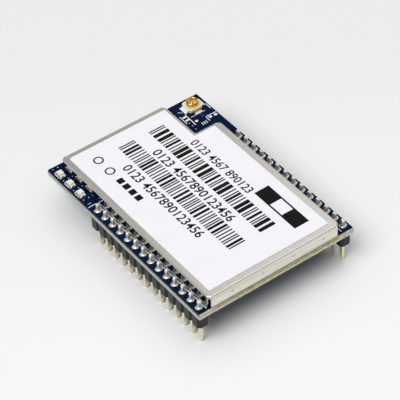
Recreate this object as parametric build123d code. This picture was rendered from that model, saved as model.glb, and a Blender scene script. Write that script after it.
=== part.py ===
from build123d import *
from math import atan, cos, degrees, pi, sqrt
import os

# All sizes are in millimetres. The origin lies under the middle of the board, level with
# the pin tips. X runs across the board, Y along it towards the antenna end, Z up.

# Circuit board
BOARD_WIDTH = 29.0
BOARD_THICKNESS = 1.2
FRONT_FIELD = 1.4            # last pin to the front edge
BACK_FIELD = 12.6            # first pin to the back edge
SCORE_DEPTH = 0.35           # scored groove along the front and back edges, each side
SCORE_LEAN = 0.1             # groove's half width at the board's surface

# Pin headers
PIN_COUNT = 14
PIN_PITCH = 2.0
PIN_SIDE = 0.5
PIN_REACH = 3.8              # bare pin below the housing
PIN_TAIL = 1.4               # pin above the board
PIN_TIP_HEIGHT = 0.3
PIN_TIP_SIDE = 0.25
PIN_FIT = 0.01               # gap each side of a pin in its housing
HOUSING_WIDTH = 2.0
HOUSING_HEIGHT = 2.2
HOUSING_CHAMFER = 0.4

# Solder joints of the pins
HOLE_CLEARANCE = 0.15        # drilled hole beyond the pin's corners
SOLDER_FIT = 0.02            # gap between the solder barrel and the hole
SOLDER_SPREAD = 0.06         # solder foot beyond the hole
SOLDER_COVER = 0.03          # solder over the pin's corners and tip
SOLDER_FLARE = 0.25          # height of the flared foot
SOLDER_NECK = 0.05           # flare's upper end beyond the solder's cover
ROUND_SIDES = 10             # flat sides of each small round: holes, solder, dimples

# Shield: a soldered frame and the lid that snaps over it
SHEET = 0.2
COVER_LEFT_GAP = 1.8         # board's left edge to the lid
COVER_RIGHT_GAP = 2.6
COVER_FRONT_GAP = 0.05
COVER_BACK_GAP = 1.3
NOTCH_WIDTH = 4.7
NOTCH_LENGTH = 8.5
HEADROOM = 0.3               # tallest part inside to the lid's ceiling
COVER_LIFT = 0.15            # lid's lower edge above the board
COVER_FIT = 0.05             # gap between the walls of lid and frame
COVER_CORNER = 0.5           # cut across the lid's upright corners
NOTCH_CORNER = 0.2
COVER_BEND = 0.05            # inside radius of the lid's upper bend
FRAME_BEND = 0.1             # inside radius of the frame's upper bend
FLANGE = 0.8                 # frame's turned-in top
SLIT = 0.4                   # open slit between two folded walls, across their corner
FOOT_PITCH = 4.0
FOOT_GAP = 1.4
FOOT_GAP_HEIGHT = 0.3
PORT_WIDTH = 1.2             # opening over the antenna trace
PORT_HEIGHT = 0.5
DIMPLE_PITCH = 5.7
DIMPLE_FIRST = 4.3           # lid's corner to the first dimple
DIMPLE_HEIGHT = 1.2          # dimple's middle above the board
DIMPLE_RADIUS = 0.28
DIMPLE_DEPTH = 0.12
DIMPLE_FIT = 0.06            # frame's window round a dimple

# Label
LABEL_THICKNESS = 0.1
LABEL_CORNER = 0.3
LABEL_LEFT = 1.0             # margins to the lid's edges
LABEL_RIGHT = 1.3
LABEL_FRONT = 1.2
LABEL_BACK = 1.0
LABEL_NOTCH = 0.55

# Antenna socket
SOCKET_RIGHT = 2.4           # socket's middle to the board's right edge
SOCKET_BACK = 2.2            # socket's middle to the board's back edge
SOCKET_BASE_SIDE = 2.6
SOCKET_BASE_HEIGHT = 0.45
SOCKET_BASE_CHAMFER = 0.3
SOCKET_FLOOR = 0.2
SOCKET_HEIGHT = 1.25
SHELL_RADIUS = 1.0
SHELL_WALL = 0.2
SHELL_RIM = 0.06
NECK_DEPTH = 0.07            # shell's narrowing below the ring, which a plug latches under
NECK_HEIGHT = 0.15           # ring above the base
CONTACT_RADIUS = 0.25
CONTACT_SINK = 0.25          # contact's tip below the shell's rim
TAB_THICKNESS = 0.15
TAB_FOOT = 0.3               # tab beyond the base
GROUND_TAB_WIDTH = 1.6
SIGNAL_TAB_WIDTH = 1.2

# Status lamps
LAMP_COUNT = 3
LAMP_PITCH = 2.8
LAMP_SIDE = 0.93             # lamp's middle to the board's left edge
LAMP_BACK = 2.35             # first lamp's middle to the board's back edge
LAMP_LENGTH = 1.6
LAMP_WIDTH = 0.8
LAMP_BASE_HEIGHT = 0.3
LAMP_TERMINAL = 0.3
LENS_LENGTH = 1.0
LENS_HEIGHT = 0.35
LENS_DRAFT = 8.0             # degrees

# Chips inside the shield
LAYOUT_GAP = 1.0             # from a wall of the frame, and between chips
PROCESSOR_SIDE = 12.0
PROCESSOR_HEIGHT = 0.9
MEMORY_WIDTH = 8.0
MEMORY_LENGTH = 9.0
MEMORY_HEIGHT = 1.0
FLASH_WIDTH = 3.9
FLASH_LENGTH = 4.9
FLASH_HEIGHT = 1.45
FLASH_PINS = 4               # leads on each side
FLASH_PITCH = 1.27
FLASH_LEAD_REACH = 0.2       # level part of a lead
FLASH_LEAD_THICKNESS = 0.2
FLASH_LEAD_FOOT = 0.65
FLASH_LEAD_WIDTH = 0.4
REGULATOR_WIDTH = 1.6
REGULATOR_LENGTH = 2.9
REGULATOR_HEIGHT = 1.1
REGULATOR_PINS = 3
REGULATOR_PITCH = 0.95
REGULATOR_LEAD_REACH = 0.1
REGULATOR_LEAD_THICKNESS = 0.15
REGULATOR_LEAD_FOOT = 0.35
REGULATOR_LEAD_WIDTH = 0.3
STANDOFF = 0.1               # leaded body above the board
INDUCTOR_SIDE = 4.0
INDUCTOR_HEIGHT = 1.8
INDUCTOR_FLANGE = 0.4
INDUCTOR_CORE = 1.2          # radius of the drum under the winding
INDUCTOR_WINDING = 0.5       # build of the winding on the drum
CRYSTAL_WIDTH = 2.5
CRYSTAL_LENGTH = 3.2
CRYSTAL_HEIGHT = 0.5
CRYSTAL_LID = 0.3
CRYSTAL_RIM = 0.2
FILTER_WIDTH = 1.25
FILTER_LENGTH = 2.0
FILTER_HEIGHT = 0.9
FIRST_PIN_CUT = 0.3          # chamfer that marks a chip's first corner

# Two-ended chips
SMALL_LENGTH = 1.0
SMALL_WIDTH = 0.5
SMALL_HEIGHT = 0.5
SMALL_CAP = 0.25             # length of each end cap
BULK_LENGTH = 2.0
BULK_WIDTH = 1.25
BULK_HEIGHT = 1.2
BULK_CAP = 0.45
CAP_PROUD = 0.02             # end cap beyond the body
BYPASS_COUNT = 6
BYPASS_PITCH = 1.8
BULK_COUNT = 2
BULK_PITCH = 2.4
MATCHING_COUNT = 3
MATCHING_PITCH = 1.4

# Levels
BOARD_BOTTOM = PIN_REACH + HOUSING_HEIGHT
BOARD_TOP = BOARD_BOTTOM + BOARD_THICKNESS
LEADED_FLASH = STANDOFF + FLASH_HEIGHT
LEADED_REGULATOR = STANDOFF + REGULATOR_HEIGHT
TALLEST = max(
    PROCESSOR_HEIGHT, MEMORY_HEIGHT, LEADED_FLASH, LEADED_REGULATOR,
    INDUCTOR_HEIGHT, CRYSTAL_HEIGHT + CRYSTAL_LID, FILTER_HEIGHT, BULK_HEIGHT,
)
CEILING = BOARD_TOP + TALLEST + HEADROOM
COVER_TOP = CEILING + SHEET

# Sizes of leads and two-ended chips, in the order in which their functions take them
FLASH_LEAD = (FLASH_LEAD_REACH, FLASH_LEAD_THICKNESS, FLASH_LEAD_FOOT, FLASH_LEAD_WIDTH)
REGULATOR_LEAD = (
    REGULATOR_LEAD_REACH, REGULATOR_LEAD_THICKNESS, REGULATOR_LEAD_FOOT, REGULATOR_LEAD_WIDTH,
)
SMALL_CHIP = (SMALL_LENGTH, SMALL_WIDTH, SMALL_HEIGHT, SMALL_CAP)
BULK_CHIP = (BULK_LENGTH, BULK_WIDTH, BULK_HEIGHT, BULK_CAP)

# Plan of the board and the pin rows
ROW_LENGTH = (PIN_COUNT - 1) * PIN_PITCH
BOARD_LENGTH = FRONT_FIELD + ROW_LENGTH + BACK_FIELD
LEFT = -BOARD_WIDTH / 2
RIGHT = BOARD_WIDTH / 2
FRONT = -BOARD_LENGTH / 2
BACK = BOARD_LENGTH / 2
ROW_X = RIGHT - HOUSING_WIDTH / 2
ROW_START = FRONT + FRONT_FIELD
PIN_YS = [ROW_START + i * PIN_PITCH for i in range(PIN_COUNT)]
PIN_CORNER = PIN_SIDE / sqrt(2)
HOLE_RADIUS = PIN_CORNER + HOLE_CLEARANCE

# Plan of the shield
COVER_X0 = LEFT + COVER_LEFT_GAP
COVER_X1 = RIGHT - COVER_RIGHT_GAP
COVER_Y0 = FRONT + COVER_FRONT_GAP
COVER_Y1 = BACK - COVER_BACK_GAP
NOTCH_X = COVER_X1 - NOTCH_WIDTH
NOTCH_Y = COVER_Y1 - NOTCH_LENGTH
FRAME_INSET = SHEET + COVER_FIT
ROOM_INSET = FRAME_INSET + SHEET
ROOM_X0 = COVER_X0 + ROOM_INSET
ROOM_X1 = COVER_X1 - ROOM_INSET
ROOM_Y0 = COVER_Y0 + ROOM_INSET
ROOM_Y1 = COVER_Y1 - ROOM_INSET
ROOM_NOTCH_X = NOTCH_X - ROOM_INSET
ROOM_NOTCH_Y = NOTCH_Y - ROOM_INSET
FRAME_BEND_OUT = FRAME_BEND + SHEET
COVER_BEND_OUT = COVER_BEND + SHEET

# Places of the socket, the lamps and the antenna port
SOCKET_X = RIGHT - SOCKET_RIGHT
SOCKET_Y = BACK - SOCKET_BACK
LAMP_X = LEFT + LAMP_SIDE
LAMP_YS = [BACK - LAMP_BACK - i * LAMP_PITCH for i in range(LAMP_COUNT)]
PORT_X = (NOTCH_X + COVER_X1) / 2


def block(width, length, height, x, y, z):
    """A box standing on level z with its middle at x, y."""
    return Pos(x, y, z) * Box(width, length, height, align=(Align.CENTER, Align.CENTER, Align.MIN))


def span(x0, x1, y0, y1, z0, z1):
    """A box between two corners."""
    return block(x1 - x0, y1 - y0, z1 - z0, (x0 + x1) / 2, (y0 + y1) / 2, z0)


def write(name, *solids):
    """One file for each node; a node may hold several like solids."""
    shape = solids[0] if len(solids) == 1 else Compound(children=list(solids))
    export_step(shape, os.path.join("parts", name + ".step"))


# Circuit board

def circuit_board():
    """The drilled board, with the scored and broken edges of its panel at front and back."""
    hole = RegularPolygon(HOLE_RADIUS, ROUND_SIDES)
    holes = [Pos(side * ROW_X, y) * hole for side in (-1, 1) for y in PIN_YS]
    plan = Rectangle(BOARD_WIDTH, BOARD_LENGTH) - holes
    low, high = BOARD_BOTTOM, BOARD_TOP
    side = Polygon(
        (FRONT + SCORE_LEAN, low), (FRONT, low + SCORE_DEPTH), (FRONT, high - SCORE_DEPTH),
        (FRONT + SCORE_LEAN, high), (BACK - SCORE_LEAN, high), (BACK, high - SCORE_DEPTH),
        (BACK, low + SCORE_DEPTH), (BACK - SCORE_LEAN, low), align=None,
    )
    scored = extrude(Plane.YZ * side, BOARD_WIDTH / 2, both=True)
    return scored & Pos(0, 0, low) * extrude(plan, BOARD_THICKNESS)


# Pin headers

def header_housing(x):
    """A strip of chamfered cells, one for each pin, with square holes."""
    cell = chamfer(Rectangle(HOUSING_WIDTH, PIN_PITCH).vertices(), HOUSING_CHAMFER)
    hole = Rectangle(PIN_SIDE + 2 * PIN_FIT, PIN_SIDE + 2 * PIN_FIT)
    strip = Sketch() + [Pos(0, y) * cell for y in PIN_YS]
    strip = strip - [Pos(0, y) * hole for y in PIN_YS]
    return Pos(x, 0, PIN_REACH) * extrude(strip, HOUSING_HEIGHT)


def header_pin(x, y):
    """A square pin with a tapered tip at both ends."""
    height = BOARD_TOP + PIN_TAIL
    half = PIN_SIDE / 2
    tip = PIN_TIP_SIDE / 2
    low, high = PIN_TIP_HEIGHT, height - PIN_TIP_HEIGHT
    side = Polygon(
        (-tip, 0), (tip, 0), (half, low), (half, high),
        (tip, height), (-tip, height), (-half, high), (-half, low), align=None,
    )
    across = extrude(Plane.XZ * side, PIN_SIDE, both=True)
    along = extrude(Plane.YZ * side, PIN_SIDE, both=True)
    return Pos(x, y, 0) * (across & along)


def solder_band(low_radius, high_radius, low, high):
    """One tapered band of a solder joint."""
    narrowing = (low_radius - high_radius) * cos(pi / ROUND_SIDES)
    draft = degrees(atan(narrowing / (high - low)))
    return Pos(0, 0, low) * extrude(RegularPolygon(low_radius, ROUND_SIDES), high - low, taper=draft)


def solder_joint(x, y):
    """Solder that fills the drilled hole and climbs the pin's tail in a hollow cone."""
    barrel = HOLE_RADIUS - SOLDER_FIT
    foot = HOLE_RADIUS + SOLDER_SPREAD
    upper = PIN_CORNER + SOLDER_COVER
    neck = upper + SOLDER_NECK
    crown = PIN_TIP_SIDE / sqrt(2) + SOLDER_COVER
    shoulder = PIN_TAIL - PIN_TIP_HEIGHT
    joint = solder_band(barrel, barrel, -BOARD_THICKNESS, 0)
    joint += solder_band(foot, neck, 0, SOLDER_FLARE)
    joint += solder_band(neck, upper, SOLDER_FLARE, shoulder)
    joint += solder_band(upper, crown, shoulder, PIN_TAIL + SOLDER_COVER)
    return Pos(x, y, BOARD_TOP) * joint - header_pin(x, y)


# Shield

def shield_plan(inset):
    """The shield's L-shaped plan with cut corners, drawn in from the lid's outside."""
    x0, x1 = COVER_X0 + inset, COVER_X1 - inset
    y0, y1 = COVER_Y0 + inset, COVER_Y1 - inset
    xn, yn = NOTCH_X - inset, NOTCH_Y - inset
    plan = Polygon((x0, y0), (x1, y0), (x1, yn), (xn, yn), (xn, y1), (x0, y1), align=None)
    shrink = inset * (2 - sqrt(2))
    by_distance = plan.vertices().sort_by_distance((xn, yn, 0))
    plan = chamfer(by_distance[1:], COVER_CORNER - shrink)
    inner_corner = plan.vertices().sort_by_distance((xn, yn, 0))[0]
    return chamfer(inner_corner, NOTCH_CORNER + shrink)


def shield_block(inset, bottom, top, bend):
    """The shield's plan as a solid with its upper edges rounded like a bent sheet."""
    solid = Pos(0, 0, bottom) * extrude(shield_plan(inset), top - bottom)
    return fillet(solid.faces().sort_by(Axis.Z)[-1].edges(), bend)


def dimple_steps(end):
    """Dimples along a wall that ends at this place, kept clear of its far corner."""
    room = end - COVER_X0 - DIMPLE_FIRST - COVER_CORNER - DIMPLE_RADIUS
    return [COVER_X0 + DIMPLE_FIRST + i * DIMPLE_PITCH for i in range(int(room / DIMPLE_PITCH) + 1)]


def dimple_walls():
    """Each snap dimple's place across the shield, its wall and the wall's inward direction."""
    dimples = [(x, COVER_Y0, 1) for x in dimple_steps(COVER_X1)]
    return dimples + [(x, COVER_Y1, -1) for x in dimple_steps(NOTCH_X)]


def dimple_plug(x, wall, inward, radius, start, depth):
    """A short round plug that starts at a depth below the wall's outer face."""
    plane = Plane(origin=(x, wall + inward * start, BOARD_TOP + DIMPLE_HEIGHT), z_dir=(0, inward, 0))
    return extrude(plane * RegularPolygon(radius, ROUND_SIDES), depth)


def dimple_window(x, wall, inward):
    """The square window in the frame that a dimple snaps into."""
    half = DIMPLE_RADIUS + DIMPLE_FIT
    z = BOARD_TOP + DIMPLE_HEIGHT
    near, far = wall, wall + inward * (ROOM_INSET + SHEET)
    return span(x - half, x + half, min(near, far), max(near, far), z - half, z + half)


def corner_slits():
    """Slits through the upright corners of lid and frame, below their bends."""
    reach = 2 * (COVER_CORNER + ROOM_INSET + SHEET)
    slit = block(reach, SLIT, CEILING - FRAME_BEND_OUT - BOARD_TOP, 0, 0, BOARD_TOP)
    corners = [(COVER_X0, COVER_Y0, 45), (COVER_X1, COVER_Y0, -45), (COVER_X0, COVER_Y1, -45)]
    corners += [(NOTCH_X, COVER_Y1, 45), (COVER_X1, NOTCH_Y, 45), (NOTCH_X, NOTCH_Y, 45)]
    return [Pos(x, y, 0) * Rot(0, 0, turn) * slit for x, y, turn in corners]


def antenna_port():
    """Opening through the notch's wall of lid and frame, over the antenna trace."""
    return span(
        PORT_X - PORT_WIDTH / 2, PORT_X + PORT_WIDTH / 2,
        ROOM_NOTCH_Y - SHEET, NOTCH_Y + SHEET,
        BOARD_TOP, BOARD_TOP + PORT_HEIGHT,
    )


def shield_cover():
    outside = shield_block(0, BOARD_TOP + COVER_LIFT, COVER_TOP, COVER_BEND_OUT)
    inside = shield_block(SHEET, BOARD_TOP, CEILING, COVER_BEND)
    cover = outside - inside - corner_slits() - antenna_port()
    for x, wall, inward in dimple_walls():
        cover += dimple_plug(x, wall, inward, DIMPLE_RADIUS, SHEET, DIMPLE_DEPTH)
        cover -= dimple_plug(x, wall, inward, DIMPLE_RADIUS - DIMPLE_FIT, 0, DIMPLE_DEPTH)
    return cover


def foot_gaps():
    """Openings along the frame's lower edge, which leave feet to solder."""
    gaps = []
    top = BOARD_TOP + FOOT_GAP_HEIGHT
    reach = ROOM_INSET + SHEET
    for i in range(int((COVER_X1 - COVER_X0) / FOOT_PITCH) - 1):
        x = COVER_X0 + (i + 1) * FOOT_PITCH
        gaps.append(span(x, x + FOOT_GAP, COVER_Y0, COVER_Y0 + reach, BOARD_TOP, top))
    for i in range(int((NOTCH_Y - COVER_Y0) / FOOT_PITCH) - 1):
        y = COVER_Y0 + (i + 1) * FOOT_PITCH
        gaps.append(span(COVER_X0, COVER_X0 + reach, y, y + FOOT_GAP, BOARD_TOP, top))
        gaps.append(span(COVER_X1 - reach, COVER_X1, y, y + FOOT_GAP, BOARD_TOP, top))
    return gaps


def shield_frame():
    outside = shield_block(FRAME_INSET, BOARD_TOP, CEILING, FRAME_BEND_OUT)
    inside = shield_block(ROOM_INSET, BOARD_TOP, CEILING - SHEET, FRAME_BEND)
    x0, x1 = ROOM_X0 + FLANGE, ROOM_X1 - FLANGE
    y0, y1 = ROOM_Y0 + FLANGE, ROOM_Y1 - FLANGE
    xn, yn = ROOM_NOTCH_X - FLANGE, ROOM_NOTCH_Y - FLANGE
    window = Polygon((x0, y0), (x1, y0), (x1, yn), (xn, yn), (xn, y1), (x0, y1), align=None)
    frame = outside - inside - Pos(0, 0, BOARD_TOP) * extrude(window, CEILING - BOARD_TOP)
    windows = [dimple_window(x, wall, inward) for x, wall, inward in dimple_walls()]
    return frame - foot_gaps() - antenna_port() - corner_slits() - windows


# Label

def label():
    x0, x1 = COVER_X0 + LABEL_LEFT, COVER_X1 - LABEL_RIGHT
    y0, y1 = COVER_Y0 + LABEL_FRONT, COVER_Y1 - LABEL_BACK
    xn, yn = NOTCH_X - LABEL_NOTCH, NOTCH_Y - LABEL_NOTCH
    plan = Polygon((x0, y0), (x1, y0), (x1, yn), (xn, yn), (xn, y1), (x0, y1), align=None)
    plan = fillet(plan.vertices(), LABEL_CORNER)
    return Pos(0, 0, COVER_TOP) * extrude(plan, LABEL_THICKNESS)


# Antenna socket, drawn with its middle at the origin and moved into place

def bent_tab(start, rise, width):
    """A strip that leaves the base at a height, turns down its side and ends in a foot."""
    side = SOCKET_BASE_SIDE / 2
    t = TAB_THICKNESS
    points = [
        (start, rise), (start, rise + t), (side + t, rise + t), (side + t, t),
        (side + TAB_FOOT + t, t), (side + TAB_FOOT + t, 0), (side, 0), (side, rise),
    ]
    return extrude(Plane.XZ * Polygon(*points, align=None), width / 2, both=True)


def socket_shell():
    """A turned ring on a neck that narrows downwards, with two ground tabs."""
    bore = Circle(SHELL_RADIUS - SHELL_WALL)
    hollow = extrude(bore, SOCKET_HEIGHT)
    neck_top = SOCKET_BASE_HEIGHT + NECK_HEIGHT
    ring = extrude(Circle(SHELL_RADIUS) - bore, SOCKET_HEIGHT - neck_top)
    ring = chamfer(ring.edges().group_by(Axis.Z)[-1], SHELL_RIM)
    neck = Cone(
        SHELL_RADIUS - NECK_DEPTH, SHELL_RADIUS, neck_top - SOCKET_FLOOR,
        align=(Align.CENTER, Align.CENTER, Align.MIN),
    )
    shell = Pos(0, 0, neck_top) * ring + (Pos(0, 0, SOCKET_FLOOR) * neck - hollow)
    tab = bent_tab(SHELL_RADIUS - SHELL_WALL, SOCKET_FLOOR, GROUND_TAB_WIDTH)
    for turn in (0, 180):
        shell += Rot(0, 0, turn) * tab - hollow
    return shell


def socket_contact():
    """A round post on a strip that leaves the base towards the front."""
    post = extrude(Circle(CONTACT_RADIUS), SOCKET_HEIGHT - CONTACT_SINK)
    post = chamfer(post.edges().group_by(Axis.Z)[-1], CONTACT_RADIUS / 2)
    length = SOCKET_BASE_SIDE / 2 + TAB_FOOT
    strip = block(SIGNAL_TAB_WIDTH, length, TAB_THICKNESS, 0, -length / 2, 0)
    return post + strip


def socket_base():
    """The moulded block, cut to take the shell and the contact."""
    plan = chamfer(Rectangle(SOCKET_BASE_SIDE, SOCKET_BASE_SIDE).vertices(), SOCKET_BASE_CHAMFER)
    base = extrude(plan, SOCKET_BASE_HEIGHT)
    hollow = extrude(Circle(SHELL_RADIUS - SHELL_WALL), SOCKET_HEIGHT)
    base = base - Pos(0, 0, SOCKET_FLOOR + TAB_THICKNESS) * hollow
    return base - socket_shell() - socket_contact()


# Status lamps

def lamp_base(y):
    """The flat carrier between a lamp's terminals."""
    length = LAMP_LENGTH - 2 * LAMP_TERMINAL
    return block(LAMP_WIDTH, length, LAMP_BASE_HEIGHT, LAMP_X, y, BOARD_TOP)


def lamp_terminal(y, end):
    """A plated end with its half-round bite."""
    bite = LAMP_WIDTH / 4
    plate = Rectangle(LAMP_WIDTH, LAMP_TERMINAL) - Pos(0, LAMP_TERMINAL / 2) * Circle(bite)
    terminal = extrude(plate, LAMP_BASE_HEIGHT)
    middle = y + end * (LAMP_LENGTH - LAMP_TERMINAL) / 2
    return Pos(LAMP_X, middle, BOARD_TOP) * Rot(0, 0, 0 if end > 0 else 180) * terminal


def lamp_lens(y):
    """A clear block with drafted sides."""
    lens = extrude(Rectangle(LAMP_WIDTH, LENS_LENGTH), LENS_HEIGHT, taper=LENS_DRAFT)
    return Pos(LAMP_X, y, BOARD_TOP + LAMP_BASE_HEIGHT) * lens


# Chips inside the shield

def flat_chip(width, length, height, x, y, z=BOARD_TOP):
    """A moulded body with one upright corner cut to mark its first pin."""
    plan = Rectangle(width, length)
    plan = chamfer(plan.vertices().sort_by_distance((-width, length, 0))[0], FIRST_PIN_CUT)
    return Pos(x, y, z) * extrude(plan, height)


def gull_lead(lead, drop):
    """A flat lead that leaves the body level, turns down and ends in a foot on the board."""
    reach, thick, foot, width = lead
    points = [
        (0, drop), (0, drop + thick), (reach + thick, drop + thick), (reach + thick, thick),
        (reach + thick + foot, thick), (reach + thick + foot, 0), (reach, 0), (reach, drop),
    ]
    return extrude(Plane.XZ * Polygon(*points, align=None), width / 2, both=True)


def lead_rows(lead, drop, half_width, pitch, counts, x, y):
    """Leads on both long sides of a body."""
    leads = []
    shape = gull_lead(lead, drop)
    for turn, count in zip((0, 180), counts):
        for i in range(count):
            step = (i - (count - 1) / 2) * (pitch if count == max(counts) else 2 * pitch)
            place = Pos(x, y, BOARD_TOP) * Rot(0, 0, turn) * Pos(half_width, step, 0)
            leads.append(place * shape)
    return leads


def two_ended_chip(size, x, y):
    """Body and two end caps of a chip that lies along Y."""
    length, width, height, cap = size
    body_height = height - 2 * CAP_PROUD
    body = block(width - 2 * CAP_PROUD, length - 2 * cap, body_height, x, y, BOARD_TOP + CAP_PROUD)
    caps = [
        block(width, cap, height, x, y + end * (length - cap) / 2, BOARD_TOP) for end in (-1, 1)
    ]
    return body, caps


def chip_row(size, count, pitch, x, y):
    """A row of two-ended chips along Y, as a list of bodies and a list of caps."""
    chips = [two_ended_chip(size, x, y + i * pitch) for i in range(count)]
    bodies = [body for body, caps in chips]
    caps = [cap for body, pair in chips for cap in pair]
    return bodies, caps


def power_inductor(x, y):
    """A drum core with square flanges, and the winding between them."""
    flange = chamfer(Rectangle(INDUCTOR_SIDE, INDUCTOR_SIDE).vertices(), INDUCTOR_SIDE / 5)
    plate = extrude(flange, INDUCTOR_FLANGE)
    upper = INDUCTOR_HEIGHT - INDUCTOR_FLANGE
    core = plate + extrude(Circle(INDUCTOR_CORE), INDUCTOR_HEIGHT) + Pos(0, 0, upper) * plate
    ring = Circle(INDUCTOR_CORE + INDUCTOR_WINDING) - Circle(INDUCTOR_CORE)
    winding = Pos(0, 0, INDUCTOR_FLANGE) * extrude(ring, upper - INDUCTOR_FLANGE)
    place = Pos(x, y, BOARD_TOP)
    return place * core, place * winding


os.makedirs("parts", exist_ok=True)

write("circuit_board", circuit_board())

for side_name, row_x in (("left", -ROW_X), ("right", ROW_X)):
    write(side_name + "_header_housing", header_housing(row_x))
    write(side_name + "_header_pins", *[header_pin(row_x, y) for y in PIN_YS])
    write(side_name + "_solder_joints", *[solder_joint(row_x, y) for y in PIN_YS])

write("shield_frame", shield_frame())
write("shield_cover", shield_cover())
write("label", label())

SOCKET_PLACE = Pos(SOCKET_X, SOCKET_Y, BOARD_TOP)
write("antenna_socket_base", SOCKET_PLACE * socket_base())
write("antenna_socket_shell", SOCKET_PLACE * socket_shell())
write("antenna_socket_contact", SOCKET_PLACE * socket_contact())

for number, lamp_y in enumerate(LAMP_YS, 1):
    write("status_lamp_" + str(number) + "_base", lamp_base(lamp_y))
    write("status_lamp_" + str(number) + "_lens", lamp_lens(lamp_y))
write("lamp_terminals", *[lamp_terminal(y, end) for y in LAMP_YS for end in (-1, 1)])

# Processor at the antenna end, and the radio's chips behind the notch
PROCESSOR_X = ROOM_X0 + LAYOUT_GAP + PROCESSOR_SIDE / 2
PROCESSOR_Y = ROOM_Y1 - LAYOUT_GAP - PROCESSOR_SIDE / 2
write("processor", flat_chip(PROCESSOR_SIDE, PROCESSOR_SIDE, PROCESSOR_HEIGHT, PROCESSOR_X, PROCESSOR_Y))

FILTER_X = ROOM_X1 - LAYOUT_GAP - FILTER_WIDTH / 2
FILTER_Y = ROOM_NOTCH_Y - LAYOUT_GAP - FILTER_LENGTH / 2
write("radio_filter", flat_chip(FILTER_WIDTH, FILTER_LENGTH, FILTER_HEIGHT, FILTER_X, FILTER_Y))

MATCHING_Y = FILTER_Y - FILTER_LENGTH / 2 - LAYOUT_GAP - SMALL_LENGTH / 2
matching, matching_caps = chip_row(SMALL_CHIP, MATCHING_COUNT, -MATCHING_PITCH, FILTER_X, MATCHING_Y)
write("matching_chips", *matching)
write("matching_chip_ends", *matching_caps)

# Chips at the front, placed from the front wall of the frame
FLASH_SPAN = FLASH_WIDTH + 2 * sum(FLASH_LEAD[:3])
FLASH_X = ROOM_X1 - LAYOUT_GAP - FLASH_SPAN / 2
FLASH_Y = ROOM_Y0 + LAYOUT_GAP + FLASH_LENGTH / 2
FLASH_COUNTS = (FLASH_PINS, FLASH_PINS)
write("flash_chip", flat_chip(
    FLASH_WIDTH, FLASH_LENGTH, FLASH_HEIGHT, FLASH_X, FLASH_Y, BOARD_TOP + STANDOFF
))
write("flash_leads", *lead_rows(
    FLASH_LEAD, LEADED_FLASH / 2, FLASH_WIDTH / 2, FLASH_PITCH, FLASH_COUNTS, FLASH_X, FLASH_Y
))

INDUCTOR_X = ROOM_X0 + LAYOUT_GAP + INDUCTOR_SIDE / 2
INDUCTOR_Y = ROOM_Y0 + LAYOUT_GAP + INDUCTOR_SIDE / 2
inductor_core, inductor_winding = power_inductor(INDUCTOR_X, INDUCTOR_Y)
write("inductor_core", inductor_core)
write("inductor_winding", inductor_winding)

REGULATOR_SPAN = REGULATOR_WIDTH + 2 * sum(REGULATOR_LEAD[:3])
REGULATOR_X = INDUCTOR_X + INDUCTOR_SIDE / 2 + LAYOUT_GAP + REGULATOR_SPAN / 2
REGULATOR_COUNTS = (REGULATOR_PINS, REGULATOR_PINS - 1)
write("regulator", flat_chip(
    REGULATOR_WIDTH, REGULATOR_LENGTH, REGULATOR_HEIGHT, REGULATOR_X, INDUCTOR_Y, BOARD_TOP + STANDOFF
))
write("regulator_leads", *lead_rows(
    REGULATOR_LEAD, LEADED_REGULATOR / 2, REGULATOR_WIDTH / 2, REGULATOR_PITCH,
    REGULATOR_COUNTS, REGULATOR_X, INDUCTOR_Y,
))

BULK_X = INDUCTOR_X
BULK_Y = INDUCTOR_Y + INDUCTOR_SIDE / 2 + LAYOUT_GAP + BULK_LENGTH / 2
bulk, bulk_caps = chip_row(BULK_CHIP, BULK_COUNT, BULK_PITCH, BULK_X, BULK_Y)
write("bulk_capacitors", *bulk)
write("bulk_capacitor_ends", *bulk_caps)

# Memory with its bypass capacitors, and the crystal
MEMORY_X = ROOM_X1 - LAYOUT_GAP - MEMORY_WIDTH / 2
MEMORY_Y = FLASH_Y + FLASH_LENGTH / 2 + LAYOUT_GAP + MEMORY_LENGTH / 2
write("memory_chip", flat_chip(MEMORY_WIDTH, MEMORY_LENGTH, MEMORY_HEIGHT, MEMORY_X, MEMORY_Y))

BYPASS_X = MEMORY_X - MEMORY_WIDTH / 2 - LAYOUT_GAP - SMALL_WIDTH / 2
BYPASS_Y = MEMORY_Y - MEMORY_LENGTH / 2 + SMALL_LENGTH / 2
bypass, bypass_caps = chip_row(SMALL_CHIP, BYPASS_COUNT, BYPASS_PITCH, BYPASS_X, BYPASS_Y)
write("bypass_capacitors", *bypass)
write("bypass_capacitor_ends", *bypass_caps)

CRYSTAL_X = ROOM_X0 + LAYOUT_GAP + CRYSTAL_WIDTH / 2
CRYSTAL_Y = PROCESSOR_Y - PROCESSOR_SIDE / 2 - LAYOUT_GAP - CRYSTAL_LENGTH / 2
write("crystal_base", block(CRYSTAL_WIDTH, CRYSTAL_LENGTH, CRYSTAL_HEIGHT, CRYSTAL_X, CRYSTAL_Y, BOARD_TOP))
write("crystal_lid", block(
    CRYSTAL_WIDTH - 2 * CRYSTAL_RIM, CRYSTAL_LENGTH - 2 * CRYSTAL_RIM, CRYSTAL_LID,
    CRYSTAL_X, CRYSTAL_Y, BOARD_TOP + CRYSTAL_HEIGHT,
))

# Resistors of the status lamps, beside the crystal
RESISTOR_X = CRYSTAL_X + CRYSTAL_WIDTH / 2 + LAYOUT_GAP + SMALL_WIDTH / 2
RESISTOR_PITCH = SMALL_WIDTH + LAYOUT_GAP
RESISTOR_XS = [RESISTOR_X + i * RESISTOR_PITCH for i in range(LAMP_COUNT)]
resistors = [two_ended_chip(SMALL_CHIP, x, CRYSTAL_Y) for x in RESISTOR_XS]
write("lamp_resistors", *[body for body, caps in resistors])
write("lamp_resistor_ends", *[cap for body, caps in resistors for cap in caps])
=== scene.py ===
import math
import bmesh
import bpy
from mathutils import Matrix, Vector


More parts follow.
